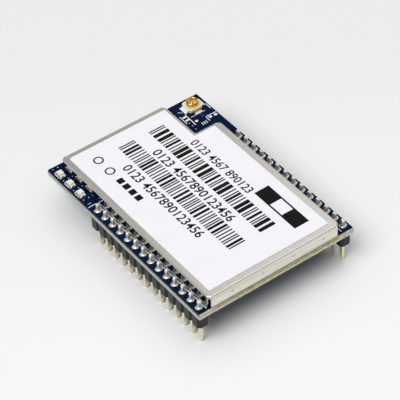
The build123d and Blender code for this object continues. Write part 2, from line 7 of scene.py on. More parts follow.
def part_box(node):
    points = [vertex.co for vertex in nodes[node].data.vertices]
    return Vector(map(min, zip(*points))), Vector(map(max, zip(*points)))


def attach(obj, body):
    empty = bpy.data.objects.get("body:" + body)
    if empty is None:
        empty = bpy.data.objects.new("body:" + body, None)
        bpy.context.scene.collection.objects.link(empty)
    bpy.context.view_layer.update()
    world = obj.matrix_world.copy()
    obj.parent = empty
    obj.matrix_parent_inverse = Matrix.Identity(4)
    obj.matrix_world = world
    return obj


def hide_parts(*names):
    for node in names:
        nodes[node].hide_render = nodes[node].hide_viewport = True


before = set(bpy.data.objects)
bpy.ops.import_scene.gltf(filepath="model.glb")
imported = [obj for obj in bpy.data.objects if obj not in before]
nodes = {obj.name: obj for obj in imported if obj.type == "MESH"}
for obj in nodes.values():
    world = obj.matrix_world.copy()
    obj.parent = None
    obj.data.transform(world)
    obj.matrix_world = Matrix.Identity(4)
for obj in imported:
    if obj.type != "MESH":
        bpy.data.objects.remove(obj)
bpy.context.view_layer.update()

# Lengths are in millimetres unless a comment says otherwise, and MM turns them into the frame's metres
MM = 0.001
BOARD_LOW, BOARD_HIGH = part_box("circuit_board")
BOARD_TOP = BOARD_HIGH.z / MM
BOARD_BOTTOM = BOARD_LOW.z / MM
LABEL_LOW, LABEL_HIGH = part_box("label")
LABEL_BOTTOM = LABEL_LOW.z / MM
LABEL_TOP = LABEL_HIGH.z / MM
PIN_COUNT = 14
PIN_SIDE = 0.5
PINS_LOW, PINS_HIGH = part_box("right_header_pins")
ROW_X = (PINS_LOW.x + PINS_HIGH.x) / 2 / MM
FIRST_PIN_Y = PINS_LOW.y / MM + PIN_SIDE / 2
LAST_PIN_Y = PINS_HIGH.y / MM - PIN_SIDE / 2
PIN_PITCH = (LAST_PIN_Y - FIRST_PIN_Y) / (PIN_COUNT - 1)
PIN_YS = [FIRST_PIN_Y + PIN_PITCH * i for i in range(PIN_COUNT)]


def middle(name):
    """The middle of a node's box, in millimetres."""
    low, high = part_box(name)
    return (low + high) / 2 / MM


LAMP_NUMBERS = (1, 2, 3)
LAMP_PLACES = [middle("status_lamp_%d_base" % number) for number in LAMP_NUMBERS]
LAMP_X = LAMP_PLACES[0].x
LAMP_YS = [place.y for place in LAMP_PLACES]
SOCKET_X, SOCKET_Y = middle("antenna_socket_base").xy


# Node helpers

def srgb(red, green, blue):
    """A linear colour with alpha from 8-bit display values."""
    scaled = [value / 255 for value in (red, green, blue)]
    linear = [s / 12.92 if s <= 0.04045 else ((s + 0.055) / 1.055) ** 2.4 for s in scaled]
    return (*linear, 1.0)


def add(tree, kind, inputs=None, **settings):
    """A new node with its settings made and its inputs set or linked."""
    made = tree.nodes.new(kind)
    for key, value in settings.items():
        setattr(made, key, value)
    for key, value in (inputs or {}).items():
        if isinstance(value, bpy.types.NodeSocket):
            tree.links.new(value, made.inputs[key])
        else:
            made.inputs[key].default_value = value
    return made


def reckon(tree, operation, *values):
    """The result of a sum on one or more values."""
    return add(tree, "ShaderNodeMath", dict(enumerate(values)), operation=operation).outputs[0]


def carried(tree, value, start, end, low=0.0, high=1.0, kind="LINEAR"):
    """A value carried over from the range start to end into the range low to high."""
    values = {"Value": value, "From Min": start, "From Max": end, "To Min": low, "To Max": high}
    return add(tree, "ShaderNodeMapRange", values, interpolation_type=kind).outputs[0]


def mixed(tree, amount, first, second):
    """A mix of two colours: a Mix node takes them at its sockets 6 and 7 and gives their mix at 2."""
    values = {0: amount, 6: first, 7: second}
    return add(tree, "ShaderNodeMix", values, data_type="RGBA").outputs[2]


PLAIN = (1.0, 1.0, 1.0)


def millimetres(tree, stretch=PLAIN):
    """The place on the object in millimetres, stretched along the axes."""
    place = add(tree, "ShaderNodeTexCoord").outputs["Object"]
    scale = [value / MM for value in stretch]
    return add(tree, "ShaderNodeVectorMath", {0: place, 1: scale}, operation="MULTIPLY").outputs[0]


def noise(tree, place, scale, detail=2.0):
    """Soft noise from 0 to 1; the scale is in patches per millimetre."""
    values = {"Vector": place, "Scale": scale, "Detail": detail}
    return add(tree, "ShaderNodeTexNoise", values).outputs[0]


def waves(tree, place, scale, **inputs):
    """Level bands, one above the other."""
    values = {"Vector": place, "Scale": scale, **inputs}
    return add(tree, "ShaderNodeTexWave", values, bands_direction="Z").outputs["Fac"]


def ramp(tree, factor, *stops):
    """A colour ramp with a stop for each position and colour."""
    made = add(tree, "ShaderNodeValToRGB", {"Fac": factor})
    elements = made.color_ramp.elements
    while len(elements) < len(stops):
        elements.new(1.0)
    for element, (position, colour) in zip(elements, stops):
        element.position = position
        element.color = colour
    return made.outputs["Color"]


# Most of a noise lies between these values
NOISE_LOW = 0.3
NOISE_HIGH = 0.7


def spread(tree, factor, low, high):
    """The middle of a noise's range stretched between two values."""
    return carried(tree, factor, NOISE_LOW, NOISE_HIGH, low, high)


def tinted(tree, factor, dark, light):
    """The middle of a noise's range stretched between two colours."""
    return ramp(tree, factor, (NOISE_LOW, srgb(*dark)), (NOISE_HIGH, srgb(*light)))


def bumped(tree, height, depth):
    """A surface normal from a height of this depth."""
    return add(tree, "ShaderNodeBump", {"Height": height, "Distance": depth * MM}).outputs[0]


def new_shader(name, metallic=0.0, specular=0.5):
    """A new material with its node tree and its shader."""
    material = bpy.data.materials.new(name)
    material.use_nodes = True
    shader = material.node_tree.nodes["Principled BSDF"]
    shader.inputs["Metallic"].default_value = metallic
    shader.inputs["Specular IOR Level"].default_value = specular
    return material, material.node_tree, shader


def connect(tree, shader, tint, gloss, surface):
    """Links a colour, a roughness and a surface normal to a shader."""
    tree.links.new(tint, shader.inputs["Base Color"])
    tree.links.new(gloss, shader.inputs["Roughness"])
    tree.links.new(surface, shader.inputs["Normal"])


# Materials

TINT_DETAIL = 4.0
# The gloss varies this much more finely than the colour
GLOSS_FINENESS = 2.3


def grained(name, dark, light, scale, rough, relief, metallic=0.0, stretch=PLAIN, specular=0.5):
    """A material whose colour, gloss and surface vary with fine noise; relief is its scale and depth."""
    material, tree, shader = new_shader(name, metallic, specular)
    place = millimetres(tree, stretch)
    tint = tinted(tree, noise(tree, place, scale, TINT_DETAIL), dark, light)
    gloss = spread(tree, noise(tree, place, GLOSS_FINENESS * scale), *rough)
    surface = bumped(tree, noise(tree, place, relief[0]), relief[1])
    connect(tree, shader, tint, gloss, surface)
    return material


# Heights on a board edge run from 0 at the lower face to 1 at the upper one, plus the wander
EDGE_WANDER = 0.22
BAND_HEIGHTS = (0.1, 0.5, 0.62)
RIM_HEIGHTS = (0.72, 0.84)
GOLD_BAND_HEIGHTS = (0.54, 0.66)
# The darker golden band fades out between these distances from the middle of the edge
GOLD_BAND_ENDS = (11.0, 12.4)
GOLD_BAND_AMOUNTS = (0.35, 1.0)


def laminate_edge(name, upper, lower, pale, patch=5.0, shades=(0.7, 1.12), rim=None, gold_band=None):
    """A board edge: glass layers in bands, with a rim where the mask ends and darker golden patches in its
    upper part.
    """
    material, tree, shader = new_shader(name, specular=0.3)
    place = millimetres(tree)
    axes = add(tree, "ShaderNodeSeparateXYZ", {0: place}).outputs
    ragged = noise(tree, millimetres(tree, (1.0, 1.0, 0.3)), 1.6, TINT_DETAIL)
    height = carried(tree, axes["Z"], BOARD_BOTTOM, BOARD_TOP)
    wobble = reckon(tree, "MULTIPLY_ADD", ragged, EDGE_WANDER, height)
    stops = list(zip(BAND_HEIGHTS, (srgb(*lower), srgb(*pale), srgb(*upper))))
    if rim:
        stops += zip(RIM_HEIGHTS, (srgb(*upper), srgb(*rim)))
    tint = ramp(tree, wobble, *stops)
    if gold_band:
        reach = reckon(tree, "ABSOLUTE", axes["X"])
        inner = carried(tree, reach, *GOLD_BAND_ENDS, 1.0, 0.0)
        amount = reckon(tree, "MULTIPLY", inner, carried(tree, wobble, *GOLD_BAND_HEIGHTS))
        patches = noise(tree, millimetres(tree, (1.0, 1.0, 2.5)), 0.9, TINT_DETAIL)
        amount = reckon(tree, "MULTIPLY", amount, spread(tree, patches, *GOLD_BAND_AMOUNTS))
        tint = mixed(tree, amount, tint, srgb(*gold_band))
    strands = noise(tree, millimetres(tree, (1.0, 1.0, 4.0)), patch, 3.0)
    shade = spread(tree, strands, *shades)
    tint = add(tree, "ShaderNodeVectorMath", {0: tint, 1: shade}, operation="MULTIPLY").outputs[0]
    gloss = spread(tree, strands, 0.55, 0.8)
    layers = waves(tree, place, 2.2, Distortion=2.0, Detail=2.0)
    connect(tree, shader, tint, gloss, bumped(tree, layers, 0.02))
    return material


def wound_wire():
    """Enamelled copper turns."""
    material, tree, shader = new_shader("copper_turns", metallic=1.0)
    place = millimetres(tree)
    turns = waves(tree, place, 1.6)
    tint = ramp(tree, turns, (0.1, srgb(118, 52, 24)), (0.8, srgb(214, 128, 78)))
    gloss = spread(tree, noise(tree, place, 3.0), 0.25, 0.4)
    connect(tree, shader, tint, gloss, bumped(tree, turns, 0.06))
    return material


def clear_lens():
    """A clear resin block with a slightly milky body."""
    material, tree, shader = new_shader("lamp_resin")
    place = millimetres(tree)
    tint = tinted(tree, noise(tree, place, 2.0, 3.0), (250, 247, 228), (254, 252, 242))
    gloss = spread(tree, noise(tree, place, 4.0), 0.12, 0.22)
    connect(tree, shader, tint, gloss, bumped(tree, noise(tree, place, 1.5), 0.01))
    shader.inputs["Transmission Weight"].default_value = 0.15
    shader.inputs["IOR"].default_value = 1.5
    return material


# The direction in which painted shade, a light fall-off, darkens the paper, and how far from the middle it
# does so
PAINTED_FALLOFF_DIRECTION = (0.57, 0.82, 0.0)
PAINTED_FALLOFF_REACH = 45.0


def floor_paper_painted_falloff():
    """Pale paper with painted shade: a light fall-off that darkens it a little towards the back."""
    material, tree, shader = new_shader("floor_paper_painted_falloff", specular=0.1)
    place = millimetres(tree)
    depth = add(tree, "ShaderNodeVectorMath", {0: place, 1: PAINTED_FALLOFF_DIRECTION}, operation="DOT_PRODUCT")
    far = carried(tree, depth.outputs[1], -PAINTED_FALLOFF_REACH, PAINTED_FALLOFF_REACH)
    tint = ramp(tree, far, (0.0, srgb(244, 244, 246)), (1.0, srgb(232, 232, 232)))
    gloss = spread(tree, noise(tree, place, 0.05), 0.7, 0.8)
    connect(tree, shader, tint, gloss, bumped(tree, noise(tree, place, 0.5), 0.002))
    return material


# The grain of a sheet is drawn out along Y where it is rolled, and along X where it is streaked
ROLLED = (4.0, 0.25, 1.0)
STREAKED = (0.06, 1.0, 1.6)
MASK = grained(
    "blue_mask", (6, 20, 50), (9, 27, 63), 0.5, (0.24, 0.36), (3.0, 0.004), specular=0.04,
)
TRACE = grained(
    "mask_over_copper", (12, 39, 80), (16, 47, 92), 0.8, (0.24, 0.34), (3.0, 0.004), specular=0.1,
)
TIN = grained(
    "tinned_sheet", (236, 231, 224), (243, 238, 232), 0.6, (0.15, 0.21), (5.0, 0.0002), 1.0, ROLLED,
)
# Darker tin for the lid's long walls and cut corners: painted shade that dims what they mirror and the
# corners' highlight
WALL_TIN_PAINTED_SHADE = grained(
    "tinned_wall_painted_shade", (174, 172, 167), (188, 186, 180), 0.6, (0.05, 0.1), (5.0, 0.0004), 1.0, ROLLED,
)
END_TIN = grained(
    "tinned_end_wall", (202, 199, 186), (234, 231, 221), 0.9, (0.18, 0.28), (5.0, 0.0004), 1.0, STREAKED,
)
FRAME_TIN = grained(
    "frame_sheet", (196, 196, 190), (214, 213, 207), 0.6, (0.3, 0.42), (5.0, 0.002), 1.0, ROLLED,
)
FILM = grained(
    "label_film", (240, 239, 243), (243, 242, 246), 0.4, (0.4, 0.52), (9.0, 0.003), specular=0.3,
)
INK = grained(
    "label_ink", (10, 10, 11), (20, 19, 20), 2.5, (0.42, 0.6), (12.0, 0.002), specular=0.12,
)
HOUSING = grained(
    "black_moulding", (13, 13, 14), (23, 23, 24), 1.2, (0.36, 0.48), (6.0, 0.008), specular=0.3,
)
PIN_GILT = grained(
    "pin_gilding", (230, 223, 184), (242, 238, 210), 1.4, (0.2, 0.34), (3.0, 0.0006), 1.0,
)
RING_GILT = grained(
    "ring_gilding", (216, 178, 84), (230, 196, 108), 1.4, (0.16, 0.26), (6.0, 0.0015), 1.0,
)
SOLDER = grained(
    "solder_tin", (238, 235, 222), (250, 248, 238), 1.6, (0.34, 0.46), (2.5, 0.003), 1.0,
)
# Dark solder for the bead under the lid: flux stain plus painted shade of the gap there
FLUX_AND_PAINTED_SHADE = grained(
    "fluxed_solder_painted_shade", (104, 94, 62), (152, 142, 106), 1.6, (0.35, 0.55), (2.5, 0.003), 0.5,
)
IVORY = grained("ivory_moulding", (222, 214, 184), (232, 225, 198), 1.2, (0.4, 0.55), (5.0, 0.006))
CARRIER = grained("lamp_carrier", (242, 239, 222), (250, 248, 236), 2.0, (0.4, 0.55), (5.0, 0.006))
TINNED = grained(
    "tinned_end", (214, 214, 210), (232, 232, 229), 2.0, (0.25, 0.4), (5.0, 0.006), 1.0,
)
LAMP_TIN = grained(
    "lamp_plating", (236, 236, 230), (247, 246, 242), 2.0, (0.35, 0.5), (5.0, 0.004), 0.3,
)
LEGEND = grained(
    "white_legend", (222, 225, 230), (240, 242, 245), 3.0, (0.5, 0.7), (8.0, 0.003), specular=0.3,
)
PLASTIC = grained("chip_moulding", (28, 28, 30), (40, 40, 42), 1.5, (0.5, 0.65), (8.0, 0.006))
CERAMIC = grained("chip_ceramic", (150, 118, 82), (172, 140, 102), 2.0, (0.4, 0.55), (6.0, 0.006))
FERRITE = grained("ferrite", (52, 52, 54), (70, 69, 70), 1.5, (0.5, 0.65), (5.0, 0.01))
PHOSPHOR = grained("lamp_die", (214, 190, 74), (236, 212, 96), 4.0, (0.4, 0.5), (9.0, 0.004))
EDGE_SIDE = laminate_edge(
    "laminate_side", (178, 184, 170), (184, 190, 178), (192, 198, 186), rim=(20, 28, 44),
)
# The front and back edges' laminate is painted lighter than the side edges' laminate: painted light
EDGE_FRONT_PAINTED_LIGHT = laminate_edge(
    "laminate_front_painted_light", (216, 212, 190), (222, 217, 198), (240, 236, 220), 1.3, (0.5, 1.25),
    gold_band=(172, 156, 92),
)
WIRE = wound_wire()
RESIN = clear_lens()
FLOOR = floor_paper_painted_falloff()


# Mesh helpers

# Edges that turn by more than this many degrees stay sharp
PIECE_CREASE = 40
SOLID_CREASE = 28


def shade_smooth(mesh, crease):
    """Smooth shading, apart from edges that turn by more than the crease."""
    mesh.polygons.foreach_set("use_smooth", [True] * len(mesh.polygons))
    mesh.set_sharp_from_angle(angle=math.radians(crease))


def placed(name, data):
    """A new object in the scene."""
    made = bpy.data.objects.new(name, data)
    bpy.context.scene.collection.objects.link(made)
    return made


def make(name, mesh_data, material, smooth=False):
    """A closed mesh as a piece that rides with the part."""
    bmesh.ops.recalc_face_normals(mesh_data, faces=mesh_data.faces)
    mesh = bpy.data.meshes.new(name)
    mesh_data.to_mesh(mesh)
    mesh_data.free()
    mesh.materials.append(material)
    if smooth:
        shade_smooth(mesh, PIECE_CREASE)
    piece = placed(name, mesh)
    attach(piece, "root")
    return piece


def ring_of(mesh_data, points):
    """Adds a loop of points to a mesh."""
    return [mesh_data.verts.new((x * MM, y * MM, z * MM)) for x, y, z in points]


def skin(mesh_data, loops):
    """Joins each loop of points to the next one with faces."""
    for low, high in zip(loops, loops[1:]):
        for k in range(len(low)):
            j = (k + 1) % len(low)
            mesh_data.faces.new((low[k], low[j], high[j], high[k]))


def close(mesh_data, loops):
    """Makes a closed body of loops of points, with a face on its first and last loop."""
    mesh_data.faces.new(loops[0][::-1])
    mesh_data.faces.new(loops[-1])
    skin(mesh_data, loops)


def prism(mesh_data, outline, low, high):
    """Adds an upright prism on an outline of points."""
    close(mesh_data, [ring_of(mesh_data, [(x, y, z) for x, y in outline]) for z in (low, high)])


def lathe(mesh_data, x, y, profile, sides):
    """Adds a closed profile of radii and heights swept round an upright axis."""
    angles = [2 * math.pi * k / sides for k in range(sides)]
    loops = []
    for radius, z in profile:
        points = [(x + radius * math.cos(a), y + radius * math.sin(a), z) for a in angles]
        loops.append(ring_of(mesh_data, points))
    skin(mesh_data, loops + loops[:1])


def oblong(x0, x1, y0, y1):
    """The outline of a field between two limits each way."""
    return [(x0, y0), (x1, y0), (x1, y1), (x0, y1)]


def square(x, y, side):
    """The outline of a square round its middle."""
    return oblong(x - side / 2, x + side / 2, y - side / 2, y + side / 2)


def stroke(x0, y0, x1, y1, width):
    """The outline of a straight line with square ends."""
    along = Vector((x1 - x0, y1 - y0)).normalized() * width / 2
    side = Vector((-along.y, along.x))
    start = Vector((x0, y0)) - along
    end = Vector((x1, y1)) + along
    return [tuple(start - side), tuple(end - side), tuple(end + side), tuple(start + side)]


def rounded(points, radius, steps=6):
    """An outline with its corners rounded."""
    outline = []
    count = len(points)
    for i in range(count):
        corner = Vector(points[i])
        to_last = (Vector(points[i - 1]) - corner).normalized()
        to_next = (Vector(points[(i + 1) % count]) - corner).normalized()
        for k in range(steps + 1):
            t = k / steps
            outline.append(tuple(corner + radius * ((1 - t) ** 2 * to_last + t ** 2 * to_next)))
    return outline


def oval(x, y, length, width, steps=16):
    """An outline of a long round pad that lies along X."""
    points = []
    for k in range(steps):
        a = 2 * math.pi * (k + 0.5) / steps
        reach = math.copysign((length - width) / 2, math.cos(a))
        points.append((x + reach + width / 2 * math.cos(a), y + width / 2 * math.sin(a)))
    return points


# Finishes of the solids

# Edges that turn by more than this many degrees get a bevel
BEVEL_TURN = 50
BEVEL_SEGMENTS = 2
HOUSING_BEVEL = 0.06
FINE_BEVEL = 0.04


def dress(material, *names):
    """Gives solids a material."""
    for name in names:
        data = nodes[name].data
        data.materials.clear()
        data.materials.append(material)


def soften(width, *names):
    """A fine bevel along the hard edges of solids."""
    for name in names:
        bevel = nodes[name].modifiers.new("soft_edges", "BEVEL")
        bevel.width = width * MM
        bevel.segments = BEVEL_SEGMENTS
        bevel.limit_method = "ANGLE"
        bevel.angle_limit = math.radians(BEVEL_TURN)


dress(MASK, "circuit_board")
dress(TIN, "shield_cover")
dress(FRAME_TIN, "shield_frame")
dress(HOUSING, "left_header_housing", "right_header_housing")
dress(PIN_GILT, "left_header_pins", "right_header_pins")
dress(RING_GILT, "antenna_socket_shell", "antenna_socket_contact")
dress(IVORY, "antenna_socket_base")
dress(CARRIER, *["status_lamp_%d_base" % number for number in LAMP_NUMBERS])
dress(RESIN, *["status_lamp_%d_lens" % number for number in LAMP_NUMBERS])
dress(LAMP_TIN, "lamp_terminals")
dress(TINNED, "bulk_capacitor_ends", "bypass_capacitor_ends", "lamp_resistor_ends", "matching_chip_ends")
dress(TINNED, "flash_leads", "regulator_leads", "crystal_lid")
dress(PLASTIC, "processor", "memory_chip", "flash_chip", "regulator", "lamp_resistors")
dress(CERAMIC, "bulk_capacitors", "bypass_capacitors", "matching_chips", "radio_filter", "crystal_base")
dress(FERRITE, "inductor_core")
dress(WIRE, "inductor_winding")
soften(HOUSING_BEVEL, "left_header_housing", "right_header_housing")
soften(FINE_BEVEL, "antenna_socket_base", "circuit_board")

# The board's outer side faces show the laminate; the front and back faces take a lighter copy of it,
# painted light that makes up for the light they lack
board = nodes["circuit_board"].data
board.materials.append(EDGE_SIDE)
board.materials.append(EDGE_FRONT_PAINTED_LIGHT)
EDGE_LEAN = 0.5
EDGE_DEPTH = 0.15
for face in board.polygons:
    if abs(face.normal.z) < EDGE_LEAN:
        centre = face.center / MM
        if abs(centre.x) > BOARD_HIGH.x / MM - EDGE_DEPTH:
            face.material_index = 1
        elif abs(centre.y) > BOARD_HIGH.y / MM - EDGE_DEPTH:
            face.material_index = 2

# The lid's long walls lie along the grain of the sheet and mirror more than its end walls; these walls and
# the cut corners take a darker tin, painted shade that dims their reflections and the corners' highlight
lid = nodes["shield_cover"].data
lid.materials.append(WALL_TIN_PAINTED_SHADE)
lid.materials.append(END_TIN)
WALL_LEAN = 0.9
CORNER_LEAN = 0.2
for face in lid.polygons:
    lean_x = abs(face.normal.x)
    lean_y = abs(face.normal.y)
    if lean_x > WALL_LEAN or min(lean_x, lean_y) > CORNER_LEAN:
        face.material_index = 1
    elif lean_y > WALL_LEAN:
        face.material_index = 2

# The socket's soldered tabs are tinned
TAB_START = 1.25
for name in ("antenna_socket_shell", "antenna_socket_contact"):
    data = nodes[name].data
    data.materials.append(LAMP_TIN)
    for face in data.polygons:
        centre = face.center / MM
        if math.hypot(centre.x - SOCKET_X, centre.y - SOCKET_Y) > TAB_START:
            face.material_index = 1

for solid in nodes.values():
    shade_smooth(solid.data, SOLID_CREASE)


# Solder joints with small differences between them

# Each ring of a joint: half width, roundness (2 is a circle, more is squarer) and height
SOLDER_RINGS = [
    (0.53, 2.0, 0.0), (0.51, 2.0, 0.03), (0.44, 2.0, 0.08), (0.375, 2.3, 0.16), (0.325, 3.2, 0.28),
    (0.29, 5.5, 0.45), (0.278, 8.0, 0.75), (0.276, 8.0, 1.0), (0.276, 8.0, 1.12), (0.228, 6.0, 1.26),
    (0.18, 4.0, 1.36), (0.12, 3.0, 1.41), (0.05, 2.0, 1.43),
]
SOLDER_SIDES = 24
# Below this height the joints differ in width, by this share at most
SOLDER_FOOT = 0.4
SWELL = 0.06
SWELL_STEPS = 5


def solder_cone(mesh_data, x, y, swell):
    """Adds a joint that is round at its foot and takes the pin's square form above."""
    angles = [2 * math.pi * k / SOLDER_SIDES for k in range(SOLDER_SIDES)]
    loops = []
    for half, power, z in SOLDER_RINGS:
        wide = half * (swell if z < SOLDER_FOOT else 1.0)
        points = []
        for a in angles:
            c = math.cos(a)
            s = math.sin(a)
            reach = wide / (abs(c) ** power + abs(s) ** power) ** (1 / power)
            points.append((x + reach * c, y + reach * s, BOARD_TOP + z))
        loops.append(ring_of(mesh_data, points))
    close(mesh_data, loops)


for side_name, row_x in (("left", -ROW_X), ("right", ROW_X)):
    cones = bmesh.new()
    for number, pin_y in enumerate(PIN_YS):
        # The remainder shuffles the widths, so that neighbours differ
        step = (number * 37 + (row_x > 0) * 5) % (2 * SWELL_STEPS + 1) - SWELL_STEPS
        solder_cone(cones, row_x, pin_y, 1 + SWELL * step / SWELL_STEPS)
    joints = make(side_name + "_solder_cones", cones, SOLDER, smooth=True)
    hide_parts(side_name + "_solder_joints")

# A bead of solder closes the gap under the lid along the front edge; its dark colour is partly flux stain
# and partly painted shade of the gap
BEAD_START = -12.2
BEAD_END = 11.4
BEAD_STEPS = 60
BEAD_SIDES = 8
BEAD_Y = -19.86
BEAD_DEPTH = 0.115
BEAD_HALF_HEIGHT = 0.09
# Waves in the bead's depth: height, turn per millimetre and start
BEAD_WAVES = ((0.008, 1.7, 0.0), (0.006, 4.1, 1.0))
BEAD_TAPER = 0.4
bead = bmesh.new()
bead_loops = []
for i in range(BEAD_STEPS + 1):
    bead_x = BEAD_START + (BEAD_END - BEAD_START) * i / BEAD_STEPS
    depth = BEAD_DEPTH + sum(rise * math.sin(turn * bead_x + start) for rise, turn, start in BEAD_WAVES)
    if i in (0, BEAD_STEPS):
        depth *= BEAD_TAPER
    points = []
    for k in range(BEAD_SIDES):
        angle = math.pi * (0.5 + k / (BEAD_SIDES - 1))
        bead_z = BOARD_TOP + BEAD_HALF_HEIGHT + BEAD_HALF_HEIGHT * math.sin(angle)
        points.append((bead_x, BEAD_Y + depth * math.cos(angle), bead_z))
    bead_loops.append(ring_of(bead, points))
close(bead, bead_loops)
make("front_solder_bead", bead, FLUX_AND_PAINTED_SHADE, smooth=True)

# Tinned lands round the solder joints, drawn out towards the board's edge
LAND_TOP = BOARD_TOP + 0.02
LAND_HOLE = 0.42
LAND_RADIUS = 0.56
LAND_LEAN = 0.02
LAND_REACH = 0.17
LAND_SIDES = 20
LAND_PROFILE = [
    (LAND_HOLE, BOARD_TOP), (LAND_RADIUS, BOARD_TOP),
    (LAND_RADIUS - LAND_LEAN, LAND_TOP), (LAND_HOLE, LAND_TOP),
]
lands = bmesh.new()
for row_x in (-ROW_X, ROW_X):
    for pin_y in PIN_YS:
        lathe(lands, row_x, pin_y, LAND_PROFILE, LAND_SIDES)
for vertex in lands.verts:
    if abs(vertex.co.x) / MM > ROW_X + LAND_HOLE + LAND_LEAN:
        vertex.co.x += math.copysign(LAND_REACH * MM, vertex.co.x)
make("solder_lands", lands, TINNED)


# Label film, drawn a hair lower than its solid so that the print lies within it

INK_DEPTH = 0.006
FILM_TOP = LABEL_TOP - INK_DEPTH
NOTCH_X = 6.65
NOTCH_Y = 9.65
FILM_CORNER = 0.3
FILM_BEVEL = 0.02
film_x0 = LABEL_LOW.x / MM
film_y0 = LABEL_LOW.y / MM
film_x1 = LABEL_HIGH.x / MM
film_y1 = LABEL_HIGH.y / MM
film_plan = [
    (film_x0, film_y0), (film_x1, film_y0), (film_x1, NOTCH_Y),
    (NOTCH_X, NOTCH_Y), (NOTCH_X, film_y1), (film_x0, film_y1),
]
film_data = bmesh.new()
prism(film_data, rounded(film_plan, FILM_CORNER), LABEL_BOTTOM, FILM_TOP)
film = make("label_sheet", film_data, FILM)
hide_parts("label")
film_bevel = film.modifiers.new("cut_edge", "BEVEL")
film_bevel.width = FILM_BEVEL * MM
film_bevel.limit_method = "ANGLE"


# Print: bar fields, plain digits and simple shapes

print_data = bmesh.new()


def ink(outline):
    """Adds a field of print to the label."""
    prism(print_data, outline, FILM_TOP, LABEL_TOP)


# Bars and gaps of one to three modules, in a made-up order that the remainders give
BAR_MODULE = 0.25
BAR_START = 14.85
BAR_END = -13.9
BAR_ROWS = ((-4.4, -1.35), (1.45, 4.4))
GAP_SHARE = 0.8
for row, (bar_x0, bar_x1) in enumerate(BAR_ROWS):
    bar_y = BAR_START
    step = 0
    while bar_y > BAR_END:
        width = BAR_MODULE * (1 + (step * step * 5 + step * 3 + row) % 7 // 3)
        gap = BAR_MODULE * (1 + (step * 11 + step * step * 2 + row * 3) % 9 // 4) * GAP_SHARE
        ink(oblong(bar_x0, bar_x1, max(bar_y - width, BAR_END), bar_y))
        bar_y -= width + gap
        step += 1

# A framed field with three boxes, two of them filled
FIELD_X0 = 5.95
FIELD_X1 = 8.7
FIELD_Y0 = -16.5
FIELD_Y1 = -6.6
FIELD_LINE = 0.3
BOX_COUNT = 3
ink(oblong(FIELD_X0, FIELD_X0 + FIELD_LINE, FIELD_Y0, FIELD_Y1))
ink(oblong(FIELD_X1 - FIELD_LINE, FIELD_X1, FIELD_Y0, FIELD_Y1))
box_pitch = (FIELD_Y1 - FIELD_Y0 - FIELD_LINE) / BOX_COUNT
for i in range(BOX_COUNT + 1):
    box_y = FIELD_Y0 + i * box_pitch
    box_depth = FIELD_LINE if i % 2 else box_pitch
    ink(oblong(FIELD_X0 + FIELD_LINE, FIELD_X1 - FIELD_LINE, box_y, box_y + box_depth))

# Two rings and a row of squares
MARK_X = -8.4
RING_YS = (14.45, 11.3)
RING_INNER = 0.6
RING_OUTER = 0.85
RING_SIDES = 32
for ring_y in RING_YS:
    ring_profile = oblong(RING_INNER, RING_OUTER, FILM_TOP, LABEL_TOP)
    lathe(print_data, MARK_X, ring_y, ring_profile, RING_SIDES)
SQUARE_SIDE = 1.15
SQUARE_START = 8.425
SQUARE_PITCH = 1.6
SQUARE_COUNT = 4
for i in range(SQUARE_COUNT):
    ink(square(MARK_X, SQUARE_START - i * SQUARE_PITCH, SQUARE_SIDE))
make("label_print", print_data, INK)

# The digits' depth only tells top from bottom, and their strokes are a little bolder than the font's
DIGIT_DEPTH = 0.5
DIGIT_BOLD = 0.014
DIGIT_STEPS = 3
DIGIT_WELD = 1e-5


def digits(name, text, x_low, x_high, y_start, y_end):
    """A line of plain digits that reads towards the front, with its tops towards +X."""
    curve = bpy.data.curves.new(name, "FONT")
    curve.body = text
    curve.extrude = DIGIT_DEPTH
    curve.offset = DIGIT_BOLD
    curve.resolution_u = DIGIT_STEPS
    source = placed(name, curve)
    bpy.context.view_layer.update()
    mesh = bpy.data.meshes.new_from_object(source)
    bpy.data.objects.remove(source)
    bpy.data.curves.remove(curve)
    data = bmesh.new()
    data.from_mesh(mesh)
    bpy.data.meshes.remove(mesh)
    bmesh.ops.remove_doubles(data, verts=data.verts, dist=DIGIT_WELD)
    xs = [vertex.co.x for vertex in data.verts]
    ys = [vertex.co.y for vertex in data.verts]
    left, right = min(xs), max(xs)
    foot, head = min(ys), max(ys)
    for vertex in data.verts:
        along = (vertex.co.x - left) / (right - left)
        rise = (vertex.co.y - foot) / (head - foot)
        x = x_low + rise * (x_high - x_low)
        y = y_start + along * (y_end - y_start)
        z = LABEL_TOP if vertex.co.z > 0 else FILM_TOP
        vertex.co = Vector((x, y, z)) * MM
    return make(name, data, INK)


digits("number_line_1", "0123 4567890123456", -6.7, -5.0, 10.7, -9.0)
digits("number_line_2", "0123 4567890123456", -1.0, 0.7, 10.7, -9.2)
digits("number_line_3", "0123 4567 890123", 5.0, 6.55, 8.8, -6.0)


# Board details: copper under the mask, bare pads and the white legend

def lay(mesh_data, outline, height):
    """Adds a thin layer on the board's upper face."""
    prism(mesh_data, outline, BOARD_TOP, BOARD_TOP + height)


TRACE_HEIGHT = 0.018
TRACE_WIDTH = 0.35
LEFT_TRACE_END = -12.0
RIGHT_TRACE_END = 11.4
FEED_END_Y = 14.9
FEED_WIDTH = 0.6
LAMP_PAD_Y = 0.65
traces = bmesh.new()
for row_x, inner_x in ((-ROW_X, LEFT_TRACE_END), (ROW_X, RIGHT_TRACE_END)):
    for pin_y in PIN_YS:
        lay(traces, stroke(row_x, pin_y, inner_x, pin_y, TRACE_WIDTH), TRACE_HEIGHT)
lay(traces, stroke(SOCKET_X, SOCKET_Y, SOCKET_X, FEED_END_Y, FEED_WIDTH), TRACE_HEIGHT)
for lamp_y in LAMP_YS:
    for pad_y in (lamp_y - LAMP_PAD_Y, lamp_y + LAMP_PAD_Y):
        lay(traces, stroke(LAMP_X, pad_y, LEFT_TRACE_END, pad_y, TRACE_WIDTH), TRACE_HEIGHT)
make("upper_traces", traces, TRACE)

